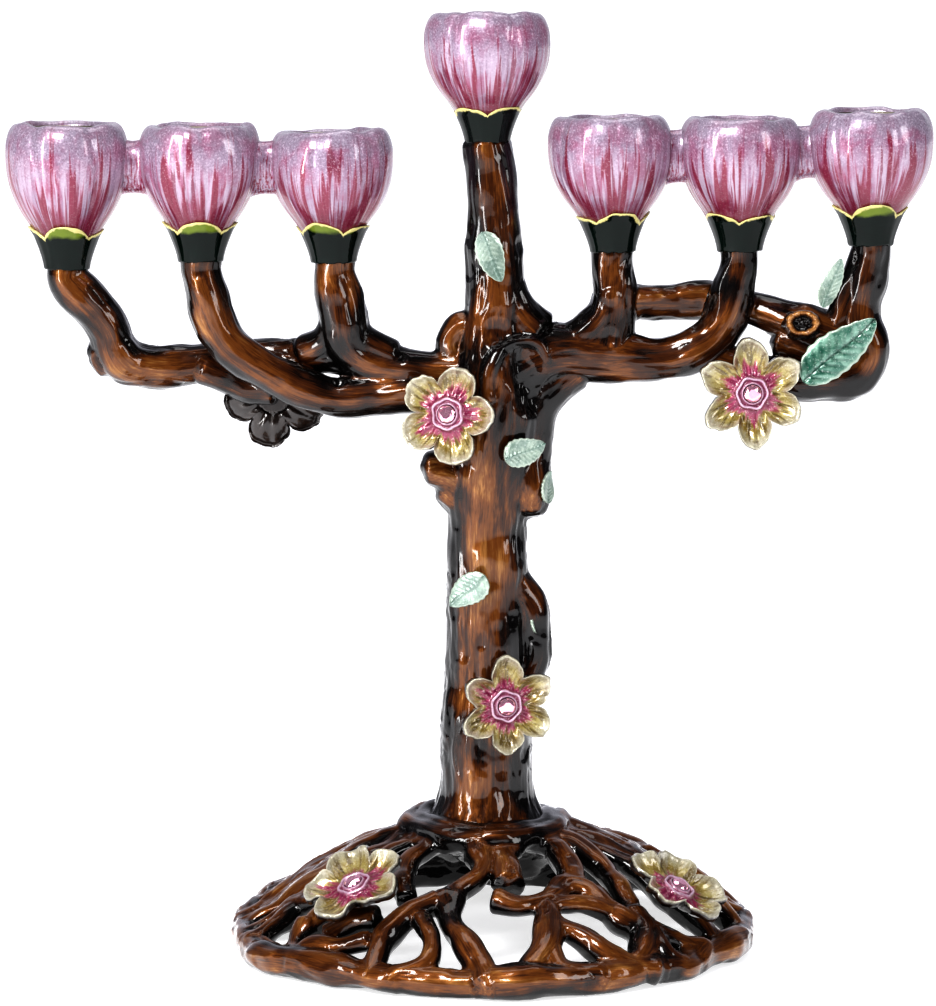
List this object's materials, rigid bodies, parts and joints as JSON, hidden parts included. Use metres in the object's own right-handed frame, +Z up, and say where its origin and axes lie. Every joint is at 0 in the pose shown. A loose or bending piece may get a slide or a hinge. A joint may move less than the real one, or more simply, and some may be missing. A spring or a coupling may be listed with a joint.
{
  "type": "tree candelabrum",
  "caption": "Tree-shaped candelabrum with tulip candle cups on curved boughs, a bark trunk with blossoms and leaves, and a pierced domed base of roots.",
  "frame": {"origin": "on the standing plane, in the middle of the bounding box", "axes": "+Z up, the front with the blossoms faces -Y, the cups stand in a row along X"},
  "size_m": [0.1979, 0.1144, 0.2019],
  "materials": {
    "bark": "glossy translucent brown enamel over cast metal, near black in the recesses",
    "petal_enamel": "glossy pearl pink enamel with crimson streaks",
    "calyx_enamel": "glossy near-black green enamel with pale tips",
    "well_metal": "bare turned metal",
    "blossom_enamel": "pearl cream enamel with a magenta middle",
    "leaf_enamel": "pearl sage green enamel",
    "crystal": "faceted pink crystal",
    "steel": "plain screw and washer"
  },
  "bodies": {
    "root": {"base_screw": "steel", "base_washer": "steel", "calyx_centre": "calyx_enamel", "calyx_left_inner": "calyx_enamel", "calyx_left_middle": "calyx_enamel", "calyx_left_outer": "calyx_enamel", "calyx_right_inner": "calyx_enamel", "calyx_right_middle": "calyx_enamel", "calyx_right_outer": "calyx_enamel", "candle_well_centre": "well_metal", "candle_well_left_inner": "well_metal", "candle_well_left_middle": "well_metal", "candle_well_left_outer": "well_metal", "candle_well_right_inner": "well_metal", "candle_well_right_middle": "well_metal", "candle_well_right_outer": "well_metal", "crystal_bough": "crystal", "crystal_bough_rear": "crystal", "crystal_root_left": "crystal", "crystal_root_right": "crystal", "crystal_shoulder": "crystal", "crystal_trunk": "crystal", "cup_centre": "petal_enamel", "cup_left_inner": "petal_enamel", "cup_left_middle": "petal_enamel", "cup_left_outer": "petal_enamel", "cup_right_inner": "petal_enamel", "cup_right_middle": "petal_enamel", "cup_right_outer": "petal_enamel", "flower_bough": "blossom_enamel", "flower_bough_rear": "blossom_enamel", "flower_root_left": "blossom_enamel", "flower_root_right": "blossom_enamel", "flower_shoulder": "blossom_enamel", "flower_trunk": "blossom_enamel", "knot_stub": "bark", "leaf_crotch": "leaf_enamel", "leaf_large": "leaf_enamel", "leaf_outer_stem": "leaf_enamel", "leaf_side_lower": "leaf_enamel", "leaf_side_upper": "leaf_enamel", "leaf_stem": "leaf_enamel", "leaf_trunk": "leaf_enamel", "left_inner_branch": "bark", "left_limb": "bark", "left_outer_branch": "bark", "link_left_middle_inner": "petal_enamel", "link_left_outer_middle": "petal_enamel", "link_right_inner_middle": "petal_enamel", "link_right_middle_outer": "petal_enamel", "right_inner_branch": "bark", "right_limb": "bark", "right_outer_branch": "bark", "right_upper_branch": "bark", "root_base": "bark", "trunk": "bark"}
  },
  "joints": []
}
